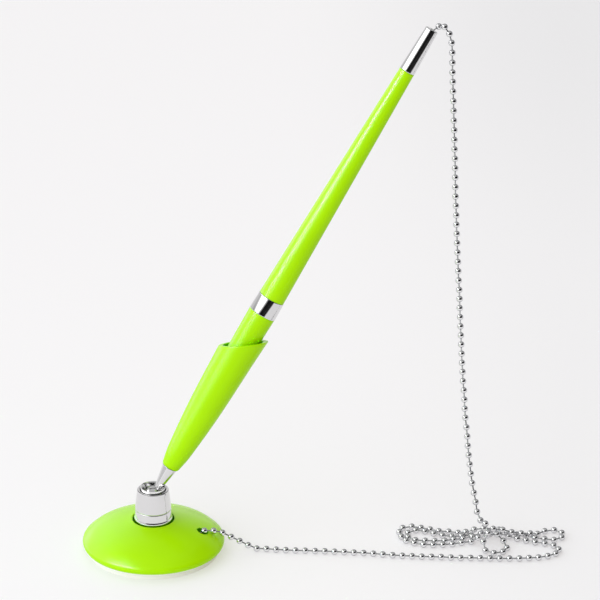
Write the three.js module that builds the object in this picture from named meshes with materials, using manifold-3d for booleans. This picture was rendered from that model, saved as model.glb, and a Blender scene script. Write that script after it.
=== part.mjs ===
// Counter pen on a round base: a domed foot with a weight inside, a chrome turret with a ball joint,
// a tapered sheath on the ball stud, a long tapered pen standing in the sheath, and a ball chain that
// runs from a hole in the foot, over the counter into a loose heap, and up to the pen's tail.
//
// Millimetres. +Z is up, +X runs to the right of the front view, -Y faces the viewer.
// The origin is the centre of the foot's underside, on the counter.

import * as THREE from 'three';
import { mergeVertices } from 'three/addons/utils/BufferGeometryUtils.js';
import Module from 'manifold-3d';

const wasm = await Module();
wasm.setup();

// ---------------------------------------------------------------- driving dimensions

const BASE_R = 30;            // largest radius of the domed cover
const PAD_R = 27.6;           // foam pad
const PLATE_R = 27.8;         // white bottom plate
const COVER_Z = 3.1;          // height of the cover's lower edge
const WELL_R = 8.8;           // round well in the dome that the turret turns in
const WELL_Z = 12.9;          // floor of the well
const FLANGE_R = 8.05;        // turret flange
const TURRET_BORE_R = 5.6;    // bore of the turret
const TURRET_TOP = 28.6;

const BALL_Z = 25.4;          // centre of the ball joint, on the turret's axis
const BALL_R = 4.0;
const SEAT_R = 4.3;           // spherical seat around the ball

const LEAN_AZIMUTH = 18.6;    // degrees, direction of the lean, from +X towards +Y
const SHEATH_LEAN = 31.65;    // degrees from vertical
const PEN_LEAN = 32.05;       // the pen lies a little lower in the sheath
const PEN_OFFSET = 0.1;       // pen axis below the sheath axis, at the ball

// along the sheath's axis, from the ball's centre
const SHEATH_FOOT = 14.5;
const MOUTH_S = 76.45;        // where the slanted mouth plane meets the axis
const MOUTH_NORMAL = [-0.09, 0.28, 0.955];
// along the pen's axis, from the ball's centre
const TIP_S = 24.5;
const RING_S0 = 91.65;
const RING_S1 = 99.35;
const CAP_S0 = 210.8;
const CAP_S1 = 231.15;
const CAP_R0 = 3.22;
const CAP_R1 = 2.6;

const CHAIN_R = 1.3;          // beads of 2.6 mm
const GAP = 0.3;

const WEIGHT_R = 22;
const BOSS_R = 17;            // circle of the screw bosses
const BOSS_ANGLES = [46, 166, 286];
const HOLE_AT = [20.6, -5.1, 11.0];   // chain hole in the dome
const HOLE_DIR = [0.8, 0.087, 0.594];

// centres of the chain's beads, from inside the foot to inside the pen's tail cap
const CHAIN_ROUTE = [
  [18.2, -5.4, 8.9], [21.6, -5, 11.4], [25.5, -4.2, 11], [29.2, -3.1, 9.5], [32.9, -3.1, 7.5], [36.5, -3, 5.5],
  [40.1, -3, 3.5], [43.7, -2.4, 1.6], [47.8, -2.3, 1.3], [51.9, -2.9, 1.3], [56, -3.4, 1.3], [60.1, -3.7, 1.3],
  [64.2, -3.9, 1.3], [68.4, -4.2, 1.3], [72.5, -4.4, 1.3], [76.6, -4.8, 1.3], [80.7, -5.2, 1.3], [84.8, -5.6, 1.3],
  [88.9, -6, 1.3], [93, -6.6, 1.3], [97, -7.3, 1.3], [101.1, -8, 1.3], [105.2, -8.5, 1.3], [109.3, -8.9, 1.3],
  [113.4, -9.3, 1.3], [117.5, -9.5, 1.3], [121.6, -9.7, 1.3], [125.7, -10.1, 1.3], [129.8, -10.5, 1.3],
  [134, -10.5, 1.3], [138.1, -10.7, 1.3], [142.2, -10.9, 1.3], [146.3, -11.1, 1.3], [150.4, -11, 1.3],
  [154.6, -11, 1.3], [158.7, -10.6, 1.3], [162.7, -10.1, 1.3], [166.7, -8.8, 1.3], [170.1, -6.6, 1.3],
  [171.6, -2.8, 1.3], [169.6, 0.8, 1.3], [165.9, 2.7, 1.3], [161.9, 3.8, 1.3], [158.1, 5.4, 1.3], [154.4, 7.2, 1.3],
  [150.8, 9.32, 1.3], [147, 11.54, 1.3], [143, 11.53, 1.3], [138.9, 11.1, 1.3], [134.9, 10.1, 1.3], [130.8, 9.5, 1.3],
  [126.7, 9.2, 1.3], [122.7, 10.1, 1.3], [119, 12, 1.3], [115.3, 13.9, 1.3], [111.4, 14.9, 1.3], [108.1, 12.5, 1.3],
  [108, 8.4, 1.3], [111.1, 5.7, 1.3], [115.2, 5.2, 1.3], [119.3, 5, 1.3], [123.5, 5.2, 1.3], [127.4, 6.3, 1.3],
  [131.4, 6.99, 1.35], [135.3, 6.6, 2.6], [139, 8.3, 3.2], [142.8, 9.78, 3.16], [146.7, 10.77, 3.75], [150.3, 11.84, 1.5],
  [154.4, 11, 1.3], [158.1, 9.64, 1.3], [162, 7.8, 1.3], [166, 6.7, 1.3], [170, 5.9, 1.3], [173.4, 8.3, 1.3],
  [173.6, 12.4, 1.3], [170.5, 15, 1.3], [166.4, 14.1, 1.3], [163.2, 11.5, 1.3], [160, 8.96, 2.9], [156.1, 8.4, 3.2],
  [152.1, 8.95, 3.5], [148.2, 8.89, 4.69], [144.2, 8.89, 5.15], [140.1, 8.7, 5.5], [136.1, 9.2, 4.6], [132.6, 10.61, 2.75],
  [129.4, 12.5, 1.3], [125.4, 13.6, 1.3], [121.3, 14, 1.3], [117.6, 15.6, 1.3], [113.7, 17.1, 1.3],
  [109.8, 18.3, 1.3], [105.9, 17, 1.3], [104.4, 13.1, 1.3], [105.2, 9.1, 1.3], [107.1, 5.4, 1.3], [110.5, 3.1, 1.3],
  [114.4, 1.7, 1.3], [118.5, 1.4, 1.3], [122.6, 1.6, 1.3], [126.7, 2.1, 1.3], [130.6, 3.4, 1.3], [134.7, 3.9, 1.6],
  [137.6, 2.6, 4.2], [141.4, 1.9, 5.6], [145.5, 2.6, 5.8], [148.29, 2.1, 2.95], [149.67, -1.4, 1.33], [147.85, -5.1, 1.44],
  [144.02, -6.6, 1.57], [140.49, -4.5, 1.71], [139.66, -1.1, 4.18], [141.72, -0.1, 7.75], [140.58, 2.6, 10.84],
  [138.63, 6.3, 10.54], [137.19, 9.4, 13.05], [136.63, 10.7, 16.94], [135.87, 12.4, 20.52], [135.11, 14, 24.3],
  [134.54, 15.3, 28.07], [134.06, 16.5, 31.94], [133.58, 17.4, 35.9], [133.2, 18.2, 39.86], [132.92, 19, 43.92],
  [132.53, 19.8, 47.87], [132.04, 20.9, 51.82], [131.75, 21.5, 55.77], [131.56, 22, 59.81], [131.27, 22.7, 63.85],
  [130.87, 23.4, 67.79], [130.68, 24, 71.83], [130.38, 24.5, 75.87], [130.18, 25, 79.9], [129.98, 25.5, 83.94],
  [129.78, 25.9, 87.98], [129.59, 26.3, 92.02], [129.39, 26.7, 96.07], [129.19, 27.1, 100.11], [129.09, 27.4, 104.16],
  [128.89, 27.7, 108.21], [128.59, 28.3, 112.27], [128.39, 28.8, 116.34], [128.19, 29.2, 120.4], [127.99, 29.7, 124.48],
  [127.79, 30.2, 128.56], [127.59, 30.6, 132.65], [127.39, 30.9, 136.74], [127.29, 31.2, 140.85], [127.09, 31.6, 144.96],
  [126.88, 31.9, 149.08], [126.78, 32.2, 153.2], [126.67, 32.5, 157.44], [126.57, 32.7, 161.58], [126.46, 33, 165.73],
  [126.25, 33.2, 169.89], [126.14, 33.4, 174.06], [126.02, 33.8, 178.23], [125.81, 34.1, 182.42], [125.69, 34.4, 186.7],
  [125.56, 34.7, 190.9], [125.34, 35, 195.1], [125.2, 35.2, 199.3], [125, 34.9, 203.61], [124.9, 34.9, 207.97],
  [124.8, 34.9, 212.36], [124.5, 35, 216.7], [123.56, 35.6, 220.45], [121.59, 36.9, 223.03], [119.27, 39.3, 222.27],
  [115.3, 38.8, 219.6],
];

// ---------------------------------------------------------------- geometry helpers

function clean(geometry) {
  let g = geometry.index ? geometry.toNonIndexed() : geometry.clone();
  for (const name of Object.keys(g.attributes)) if (name !== 'position') g.deleteAttribute(name);
  g = mergeVertices(g, 1e-4);
  const p = g.attributes.position, idx = g.index.array, keep = [];
  let volume = 0;
  const a = new THREE.Vector3(), b = new THREE.Vector3(), c = new THREE.Vector3();
  for (let i = 0; i < idx.length; i += 3) {
    const [i0, i1, i2] = [idx[i], idx[i + 1], idx[i + 2]];
    if (i0 === i1 || i1 === i2 || i0 === i2) continue;
    a.fromBufferAttribute(p, i0); b.fromBufferAttribute(p, i1); c.fromBufferAttribute(p, i2);
    volume += a.dot(b.cross(c));
    keep.push(i0, i1, i2);
  }
  if (volume < 0) for (let i = 0; i < keep.length; i += 3) [keep[i + 1], keep[i + 2]] = [keep[i + 2], keep[i + 1]];
  g.setIndex(keep);
  return g;
}

function toManifold(geometry) {
  const g = clean(geometry);
  return new wasm.Manifold(new wasm.Mesh({
    numProp: 3,
    vertProperties: new Float32Array(g.attributes.position.array),
    triVerts: new Uint32Array(g.index.array),
  }));
}

function fromManifold(solid) {
  const m = solid.getMesh();
  const g = new THREE.BufferGeometry();
  const v = new Float32Array(m.numVert * 3);
  for (let i = 0; i < m.numVert; i++) for (let k = 0; k < 3; k++) v[i * 3 + k] = m.vertProperties[i * m.numProp + k];
  g.setAttribute('position', new THREE.BufferAttribute(v, 3));
  g.setIndex(Array.from(m.triVerts));
  return g;
}

// profile points are [radius, height]; the solid is turned about +Z
function turned(profile, segments = 32) {
  const pts = profile.map(([r, z]) => new THREE.Vector2(r, z));
  const g = new THREE.LatheGeometry(pts, segments);
  g.rotateX(Math.PI / 2);
  return g;
}

// a ring profile closes on itself
function ring(profile, segments = 32) {
  return turned([...profile, profile[0]], segments);
}

function cylinder(r, z0, z1, segments = 20, x = 0, y = 0) {
  const g = new THREE.CylinderGeometry(r, r, z1 - z0, segments);
  g.rotateX(Math.PI / 2);
  g.translate(x, y, (z0 + z1) / 2);
  return g;
}

function sphere(r, w = 24, h = 14) {
  const g = new THREE.SphereGeometry(r, w, h);
  g.rotateX(Math.PI / 2);
  return g;
}

function along(geometry, from, direction) {
  const d = new THREE.Vector3(...direction).normalize();
  const q = new THREE.Quaternion().setFromUnitVectors(new THREE.Vector3(0, 0, 1), d);
  geometry.applyQuaternion(q);
  geometry.translate(...from);
  return geometry;
}

function polygonSection(r, sides) {
  const s = new THREE.Shape();
  for (let i = 0; i < sides; i++) {
    const t = (i / sides) * Math.PI * 2;
    const x = r * Math.cos(t), y = r * Math.sin(t);
    if (i) s.lineTo(x, y); else s.moveTo(x, y);
  }
  s.closePath();
  return s;
}

function tube(points, r, sides, steps) {
  const curve = new THREE.CatmullRomCurve3(points.map((p) => new THREE.Vector3(...p)), false, 'centripetal');
  return new THREE.ExtrudeGeometry(polygonSection(r, sides), { steps, extrudePath: curve, bevelEnabled: false, curveSegments: 1 });
}

// ---------------------------------------------------------------- materials

const lime = { color: 0x9fe016, roughness: 0.22, metalness: 0.0 };
const white = { color: 0xeeeeec, roughness: 0.6, metalness: 0.0 };
const foam = { color: 0xe6e6e2, roughness: 0.9, metalness: 0.0 };
const chrome = { color: 0xd9dbde, roughness: 0.08, metalness: 1.0 };
const steel = { color: 0xa9abae, roughness: 0.35, metalness: 1.0 };
const plated = { color: 0xc4c8ce, roughness: 0.2, metalness: 1.0 };
const brass = { color: 0xc9a650, roughness: 0.3, metalness: 1.0 };
const clearPlastic = { color: 0xd8dde6, roughness: 0.3, metalness: 0.0 };
const nylon = { color: 0x2a2b2e, roughness: 0.5, metalness: 0.0 };

const counterPen = new THREE.Group();
counterPen.name = 'counter_pen';

function add(parent, name, geometry, look) {
  const m = new THREE.Mesh(geometry, new THREE.MeshStandardMaterial(look));
  m.name = name;
  parent.add(m);
  return m;
}

// ---------------------------------------------------------------- the foot

// foam pad that the foot stands on
add(counterPen, 'adhesive_pad', clean(turned([[0, 0], [PAD_R, 0], [PAD_R, 1.5], [0, 1.5]], 40)), foam);

// bottom plate: a disc with a locating ring, a centre opening and three counterbored screw holes
{
  let plate = toManifold(ring([[4.6, 1.6], [PLATE_R - 0.4, 1.6], [PLATE_R, 2.0], [PLATE_R, 3.0], [26.2, 3.0], [26.2, 4.4], [24.7, 4.4], [24.7, 3.0], [4.6, 3.0]], 40));
  for (const deg of BOSS_ANGLES) {
    const t = THREE.MathUtils.degToRad(deg), x = BOSS_R * Math.cos(t), y = BOSS_R * Math.sin(t);
    plate = plate.subtract(toManifold(cylinder(2.5, 1.0, 2.4, 14, x, y)));
    plate = plate.subtract(toManifold(cylinder(1.2, 1.0, 4.0, 10, x, y)));
  }
  add(counterPen, 'base_plate', fromManifold(plate), white);
}

// steel weight: a thick washer with clearance holes for the bosses
{
  let disc = toManifold(ring([[8.0, 3.3], [WEIGHT_R, 3.3], [WEIGHT_R, 6.0], [WEIGHT_R - 0.4, 6.4], [8.0, 6.4]], 36));
  for (const deg of BOSS_ANGLES) {
    const t = THREE.MathUtils.degToRad(deg);
    disc = disc.subtract(toManifold(cylinder(3.3, 2.5, 7.5, 16, BOSS_R * Math.cos(t), BOSS_R * Math.sin(t))));
  }
  add(counterPen, 'weight_disc', fromManifold(disc), steel);
}

// domed cover: a moulded shell with a well for the turret, three bosses and the chain hole
{
  const shell = [
    [29.0, COVER_Z], [29.7, 3.6], [BASE_R, 4.6], [29.85, 5.3], [29.3, 6.0],
    [28.0, 7.5], [25.5, 9.3], [22.0, 11.05], [18.0, 12.6], [14.0, 13.8], [9.2, 14.85],
    [WELL_R, 14.6], [WELL_R, WELL_Z], [4.7, WELL_Z], [4.7, 10.9], [10.6, 10.9], [11.0, 12.45],
    [15.0, 11.55], [20.0, 9.85], [24.5, 7.5], [26.6, 5.6], [26.6, COVER_Z],
  ];
  let cover = toManifold(ring(shell, 40));
  for (const deg of BOSS_ANGLES) {
    const t = THREE.MathUtils.degToRad(deg), x = BOSS_R * Math.cos(t), y = BOSS_R * Math.sin(t);
    cover = cover.add(toManifold(cylinder(2.6, 3.3, 11.6, 12, x, y)));
    cover = cover.subtract(toManifold(cylinder(1.15, 2.5, 8.6, 10, x, y)));
  }
  const hole = new THREE.CylinderGeometry(2.1, 2.1, 9, 16);
  hole.rotateX(Math.PI / 2);
  cover = cover.subtract(toManifold(along(hole, HOLE_AT, HOLE_DIR)));
  add(counterPen, 'base_cover', fromManifold(cover), lime);
}

// screws that hold the plate to the cover's bosses
BOSS_ANGLES.forEach((deg, i) => {
  const t = THREE.MathUtils.degToRad(deg);
  const g = turned([[0, 1.65], [2.1, 1.65], [2.1, 2.1], [1.8, 2.25], [0.8, 2.25], [0.8, 7.4], [0, 8.0]], 12);
  g.translate(BOSS_R * Math.cos(t), BOSS_R * Math.sin(t), 0);
  add(counterPen, `plate_screw_${i + 1}`, clean(g), steel);
});

// stop on the chain's inner end, wider than the chain hole
{
  const g = turned([[0, -0.4], [2.3, -0.4], [2.3, 0.2], [0, 0.2]], 16);
  const d = new THREE.Vector3(...HOLE_DIR).normalize();
  along(g, [HOLE_AT[0] - 4.3 * d.x, HOLE_AT[1] - 4.3 * d.y, HOLE_AT[2] - 4.3 * d.z], HOLE_DIR);
  add(counterPen, 'chain_stop', clean(g), plated);
}

// ---------------------------------------------------------------- the turret, turning in the foot's well

add(counterPen, 'socket_ferrule', clean(turned([
  [0, 15.2], [1.3, 15.2], [1.3, 10.6], [4.4, 10.6], [4.4, 13.2], [FLANGE_R, 13.2], [FLANGE_R, 16.0], [7.75, 16.15],
  [7.6, 19.4], [7.42, 19.6], [7.52, 19.9], [7.2, 23.4], [6.65, 27.5], [6.2, 28.45], [5.95, TURRET_TOP],
  [TURRET_BORE_R, TURRET_TOP], [TURRET_BORE_R, 17.2], [0, 17.2],
], 32)), chrome);

// screw and washer that hold the turret down from below
add(counterPen, 'socket_screw', clean(turned([[0, 8.1], [2.6, 8.1], [2.6, 9.2], [2.2, 9.6], [1.0, 9.6], [1.0, 14.9], [0, 14.9]], 16)), steel);
add(counterPen, 'socket_washer', clean(ring([[1.4, 9.9], [6.3, 9.9], [6.3, 10.4], [1.4, 10.4]], 20)), steel);

// spring that presses the seat up against the ball
{
  const pts = [], turns = 2.25, r = 3.7, z0 = 17.75, z1 = 19.35;
  for (let i = 0; i <= 36; i++) {
    const t = (i / 36) * turns * Math.PI * 2;
    pts.push([r * Math.cos(t), r * Math.sin(t), z0 + (z1 - z0) * (i / 36)]);
  }
  add(counterPen, 'seat_spring', clean(tube(pts, 0.24, 5, 32)), steel);
}

// cupped seat under the ball
{
  let seat = toManifold(turned([[0, 19.9], [5.0, 19.9], [5.25, 20.2], [5.25, 23.1], [0, 23.1]], 24));
  const cup = sphere(SEAT_R, 24, 14);
  cup.translate(0, 0, BALL_Z);
  seat = seat.subtract(toManifold(cup));
  add(counterPen, 'ball_seat', fromManifold(seat), nylon);
}

// slotted collet that closes over the ball; its flared mouth is the stop for the leaning stud
{
  let collet = toManifold(ring([[3.4, 23.5], [5.3, 23.5], [5.3, 29.1], [5.1, 29.5], [4.85, 29.5], [3.9, 27.15], [3.4, 26.4]], 24));
  const cup = sphere(SEAT_R, 24, 14);
  cup.translate(0, 0, BALL_Z);
  collet = collet.subtract(toManifold(cup));
  for (let i = 0; i < 3; i++) {
    const slot = new THREE.BoxGeometry(0.9, 14, 4.2);
    slot.translate(0, 0, 28.1);
    slot.rotateZ(THREE.MathUtils.degToRad(LEAN_AZIMUTH + 30 + i * 60));
    collet = collet.subtract(toManifold(slot));
  }
  add(counterPen, 'socket_collet', fromManifold(collet), chrome);
}

// ---------------------------------------------------------------- the ball chain on the counter

const LEAD = CHAIN_ROUTE.slice(0, 21);
const FRONT = CHAIN_ROUTE.slice(20, 38);
const LOWER = CHAIN_ROUTE.slice(116, 144);
const UPPER = CHAIN_ROUTE.slice(143, 170);

function shorten(points, atStart, atEnd) {
  const p = points.map((q) => [...q]);
  const move = (a, b, d) => {
    const v = new THREE.Vector3(b[0] - a[0], b[1] - a[1], b[2] - a[2]).normalize().multiplyScalar(d);
    a[0] += v.x; a[1] += v.y; a[2] += v.z;
  };
  if (atStart) move(p[0], p[1], atStart);
  if (atEnd) move(p[p.length - 1], p[p.length - 2], atEnd);
  return p;
}

const onCounter = (points) => points.map(([x, y, z]) => [x, y, Math.max(z, CHAIN_R + 0.02)]);

// from the hole over the dome's edge and along the counter
add(counterPen, 'chain_lead', clean(tube(onCounter(shorten(LEAD, 0, 0.15)), CHAIN_R - 0.1, 8, 16)), plated);  // a little thinner, clear of the dome
// along the front of the heap
add(counterPen, 'chain_front_run', clean(tube(onCounter(shorten(FRONT, 0.15, 0.9)), CHAIN_R, 8, 11)), plated);

// the loose heap: outer shape of its loops, one bead high, with a hump where the strands cross
{
  const outline = [
    [167.2, -7.4], [168.4, -9.7], [172.0, -6.6], [173.0, -1.8], [171.0, 3.2], [174.9, 8.2], [174.6, 13.2],
    [170.5, 16.4], [165.5, 15.1], [159.0, 12.3], [151.2, 12.9], [141.2, 13.2], [134.0, 12.4], [129.2, 14.4], [121.0, 15.9],
    [113.8, 18.7], [109.0, 19.6], [105.8, 18.4], [104.2, 16.6], [103.1, 13.0], [104.1, 8.0], [107.5, 3.4], [111.0, 1.5],
    [115.5, 0.2], [126.0, 0.8], [131.0, 2.3], [137.0, 2.0], [138.6, -3.5], [140.0, -5.9], [143.5, -7.8], [146.5, -7.2],
    [149.4, -5.2], [150.8, -2.0], [152.0, 6.0], [156.0, 4.9], [161.0, 2.9], [165.5, 1.4], [169.4, -1.8], [169.0, -4.8],
  ];
  const shape = new THREE.Shape(outline.map(([x, y]) => new THREE.Vector2(x, y)));
  const slab = new THREE.ExtrudeGeometry(shape, { depth: 2 * CHAIN_R, bevelEnabled: false, curveSegments: 1 });
  const hump = sphere(1, 20, 10);
  hump.scale(9.0, 7.6, 8.2);
  hump.translate(141.2, 5.2, 0.3);
  let heap = toManifold(slab).add(toManifold(hump));
  const below = new THREE.BoxGeometry(120, 60, 20);
  below.translate(140, 4, -10 + 0.02);
  heap = heap.subtract(toManifold(below));
  add(counterPen, 'chain_pile', fromManifold(heap), plated);
}

// hanging stretch, in two lengths
add(counterPen, 'chain_hang_lower', clean(tube(shorten(LOWER, 0, 0.15), CHAIN_R, 8, 17)), plated);
add(counterPen, 'chain_hang_upper', clean(tube(shorten(UPPER, 0.15, 0.4), CHAIN_R, 8, 20)), plated);

// ---------------------------------------------------------------- ball stud and sheath, leaning on the ball joint

const leanAxis = new THREE.Vector3(-Math.sin(THREE.MathUtils.degToRad(LEAN_AZIMUTH)), Math.cos(THREE.MathUtils.degToRad(LEAN_AZIMUTH)), 0);

const holder = new THREE.Group();
holder.position.set(0, 0, BALL_Z);
holder.quaternion.setFromAxisAngle(leanAxis, THREE.MathUtils.degToRad(SHEATH_LEAN));
counterPen.add(holder);

// ball, tapered neck and the spigot that is screwed into the sheath
{
  const pts = [];
  const rise = Math.acos(1.5 / BALL_R);
  for (let i = 0; i <= 10; i++) {
    const t = -Math.PI / 2 + (Math.PI / 2 + rise) * (i / 10);
    pts.push([i === 0 ? 0 : BALL_R * Math.cos(t), BALL_R * Math.sin(t)]);
  }
  pts.push([1.5, 4.1], [1.8, 5.6], [3.25, 13.4], [3.25, 14.1], [1.9, 14.1], [1.9, 18.6], [1.5, 19.2], [0, 19.2]);
  add(holder, 'ball_stud', clean(turned(pts, 24)), chrome);
}

// sheath: a tapered shell with a slanted mouth
{
  const profile = [
    [2.25, SHEATH_FOOT], [3.4, SHEATH_FOOT], [4.05, 15.9], [5.1, 21.4], [5.8, 27.9], [6.4, 34.3],
    [7.0, 42.0], [7.5, 50.5], [7.9, 60.0], [8.28, 70.0], [8.6, 76.45], [9.1, 86.0],
    [7.35, 86.0], [7.0, 76.45], [6.65, 70.0], [6.3, 60.0], [5.8, 51.0], [5.1, 42.0], [4.3, 36.0], [3.4, 31.0],
    [2.3, 27.0], [1.5, 23.6], [0, 23.6], [0, 19.6], [2.25, 19.6],
  ];
  let shell = toManifold(ring(profile, 32));
  const n = new THREE.Vector3(...MOUTH_NORMAL).normalize().applyQuaternion(holder.quaternion.clone().invert());
  const cutter = new THREE.BoxGeometry(60, 60, 40);
  cutter.translate(0, 0, 20);
  shell = shell.subtract(toManifold(along(cutter, [0, 0, MOUTH_S], [n.x, n.y, n.z])));
  add(holder, 'sheath', fromManifold(shell), lime);
}

// ---------------------------------------------------------------- the pen

const pen = new THREE.Group();
{
  const az = THREE.MathUtils.degToRad(LEAN_AZIMUTH), t = THREE.MathUtils.degToRad(PEN_LEAN);
  const down = new THREE.Vector3(Math.cos(az) * Math.cos(t), Math.sin(az) * Math.cos(t), -Math.sin(t));
  pen.position.copy(down.multiplyScalar(PEN_OFFSET)).add(new THREE.Vector3(0, 0, BALL_Z));
  pen.quaternion.setFromAxisAngle(leanAxis, t);
}
counterPen.add(pen);

// barrel radius at a distance along the axis
const barrelR = (s) => (s <= RING_S0 ? 5.9 - (RING_S0 - s) * (s > 74 ? 0.023 : 0.025) : 5.65 - (s - RING_S1) * 0.0208);

// writing ball, held in the refill's point
{
  const g = sphere(0.5, 10, 6);
  g.translate(0, 0, TIP_S + 0.5);
  add(pen, 'point_ball', clean(g), steel);
}
add(pen, 'refill_point', clean(turned([
  [0, 25.65], [0.56, 25.65], [0.56, 25.1], [0.7, 25.1], [0.78, 28.5], [1.2, 33.5], [1.2, 37.7], [0.85, 37.7], [0.85, 41.5], [0, 41.5],
], 12)), brass);
add(pen, 'refill_tube', clean(ring([[1.15, 38.0], [1.5, 38.0], [1.5, 150.0], [1.15, 150.0]], 14)), clearPlastic);
add(pen, 'refill_plug', clean(turned([[0, 145.0], [0.85, 145.0], [0.85, 150.3], [1.5, 150.3], [1.5, 151.8], [0, 151.8]], 14)), white);

// nose cone, with the spigot that screws into the lower barrel
add(pen, 'nose_cone', clean(ring([
  [1.1, 26.4], [1.4, 26.4], [2.6, 33.0], [3.35, 38.0], [4.25, 46.0],
  [3.2, 46.0], [3.2, 52.0], [2.3, 52.0], [2.3, 40.0], [1.55, 34.0], [1.1, 29.0],
], 20)), lime);
add(pen, 'lower_barrel', clean(ring([
  [4.27, 46.3], [4.95, 60.0], [barrelR(74.1), 74.0], [barrelR(RING_S0), RING_S0 - GAP],
  [4.5, RING_S0 - GAP], [4.5, 83.0], [4.0, 82.0], [3.55, 60.0], [3.55, 46.3],
], 28)), lime);
// chrome band between the barrels, on a sleeve that joins them
add(pen, 'centre_ring', clean(ring([
  [5.88, RING_S0], [5.66, RING_S1], [4.15, RING_S1], [4.15, 107.0], [3.35, 107.0], [3.35, 84.2], [4.15, 84.2], [4.15, RING_S0],
], 28)), chrome);
add(pen, 'upper_barrel', clean(ring([
  [barrelR(100), RING_S1 + GAP], [barrelR(125), 125.0], [barrelR(150), 150.0], [barrelR(180), 180.0], [3.36, CAP_S0 - 0.3],
  [2.35, CAP_S0 - 0.3], [2.35, 200.0], [3.0, 170.0], [4.0, 112.0], [4.48, 108.5], [4.48, RING_S1 + GAP],
], 28)), lime);
// chrome tail cap with a spigot in the barrel and a small hole for the chain in its end
add(pen, 'tail_cap', clean(ring([
  [CAP_R0, CAP_S0], [CAP_R1 + 0.03, CAP_S1 - 0.4], [CAP_R1 - 0.4, CAP_S1], [0.85, CAP_S1],
  [0.85, CAP_S1 - 0.5], [1.6, CAP_S1 - 0.5], [1.6, 203.0], [2.0, 203.0], [2.0, CAP_S0],
], 20)), chrome);

// last bead of the chain, trapped inside the tail cap, with its pin through the end hole
{
  const pts = [], centre = CAP_S1 - 0.5 - 0.3 - CHAIN_R, pinR = 0.35;
  const rise = Math.acos(pinR / CHAIN_R);
  for (let i = 0; i <= 6; i++) {
    const t = -Math.PI / 2 + (Math.PI / 2 + rise) * (i / 6);
    pts.push([i === 0 ? 0 : CHAIN_R * Math.cos(t), centre + CHAIN_R * Math.sin(t)]);
  }
  pts.push([pinR, CAP_S1 + 0.15], [0, CAP_S1 + 0.15]);
  add(pen, 'chain_end_bead', clean(turned(pts, 12)), plated);
}

export default counterPen;
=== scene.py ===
import math

import bmesh
import bpy
import numpy as np
from mathutils import Matrix, Vector
from mathutils.geometry import interpolate_bezier


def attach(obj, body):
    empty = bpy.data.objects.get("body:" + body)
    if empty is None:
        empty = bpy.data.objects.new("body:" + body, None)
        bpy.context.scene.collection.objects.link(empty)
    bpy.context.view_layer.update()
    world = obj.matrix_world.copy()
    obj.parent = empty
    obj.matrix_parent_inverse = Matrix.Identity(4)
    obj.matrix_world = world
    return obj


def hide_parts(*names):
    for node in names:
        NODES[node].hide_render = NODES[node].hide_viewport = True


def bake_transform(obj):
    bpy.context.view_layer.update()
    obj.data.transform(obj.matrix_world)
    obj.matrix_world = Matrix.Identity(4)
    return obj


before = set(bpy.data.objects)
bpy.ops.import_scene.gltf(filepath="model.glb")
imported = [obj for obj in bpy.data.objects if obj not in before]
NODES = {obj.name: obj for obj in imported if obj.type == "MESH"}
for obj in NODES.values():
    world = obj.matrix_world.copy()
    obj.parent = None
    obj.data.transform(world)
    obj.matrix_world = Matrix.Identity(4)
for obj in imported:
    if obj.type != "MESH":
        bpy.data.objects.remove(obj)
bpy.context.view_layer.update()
scene = bpy.context.scene
MM = 0.001

# ------------------------------------------------------------------ camera, at the photograph's angle
cam_data = bpy.data.cameras.new("camera")
cam_data.sensor_width = 36.0
cam_data.lens = 289.8
cam_data.clip_start, cam_data.clip_end = 0.05, 50.0
cam = bpy.data.objects.new("camera", cam_data)
cam.location = (0.0620, -1.8185, 0.9488)
cam.rotation_euler = (math.radians(90 - 24.6), 0.0, 0.0)
scene.collection.objects.link(cam)
scene.camera = cam

# ------------------------------------------------------------------ dimensions, in millimetres as in the CAD
BALL_Z = 25.4
LEAN_AZIMUTH = math.radians(18.6)
SHEATH_LEAN = math.radians(31.65)
PEN_LEAN = math.radians(32.05)
PEN_OFFSET = 0.1
MOUTH_S = 76.45
MOUTH_NORMAL = Vector((-0.09, 0.28, 0.955)).normalized()
CHAIN_R = 1.3
BEAD_R = 1.36  # the beads are drawn a hair over the chain's 2.6 mm, as plated balls with a seam are
PIN_R = 0.32

LEAN_AXIS = Vector((-math.sin(LEAN_AZIMUTH), math.cos(LEAN_AZIMUTH), 0))
HOLDER = Matrix.Translation((0, 0, BALL_Z)) @ Matrix.Rotation(SHEATH_LEAN, 4, LEAN_AXIS)
_down = Vector((math.cos(LEAN_AZIMUTH) * math.cos(PEN_LEAN), math.sin(LEAN_AZIMUTH) * math.cos(PEN_LEAN), -math.sin(PEN_LEAN)))
PEN = Matrix.Translation(Vector((0, 0, BALL_Z)) + _down * PEN_OFFSET) @ Matrix.Rotation(PEN_LEAN + math.radians(0.06), 4, LEAN_AXIS)
HERE = Matrix.Identity(4)

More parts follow.
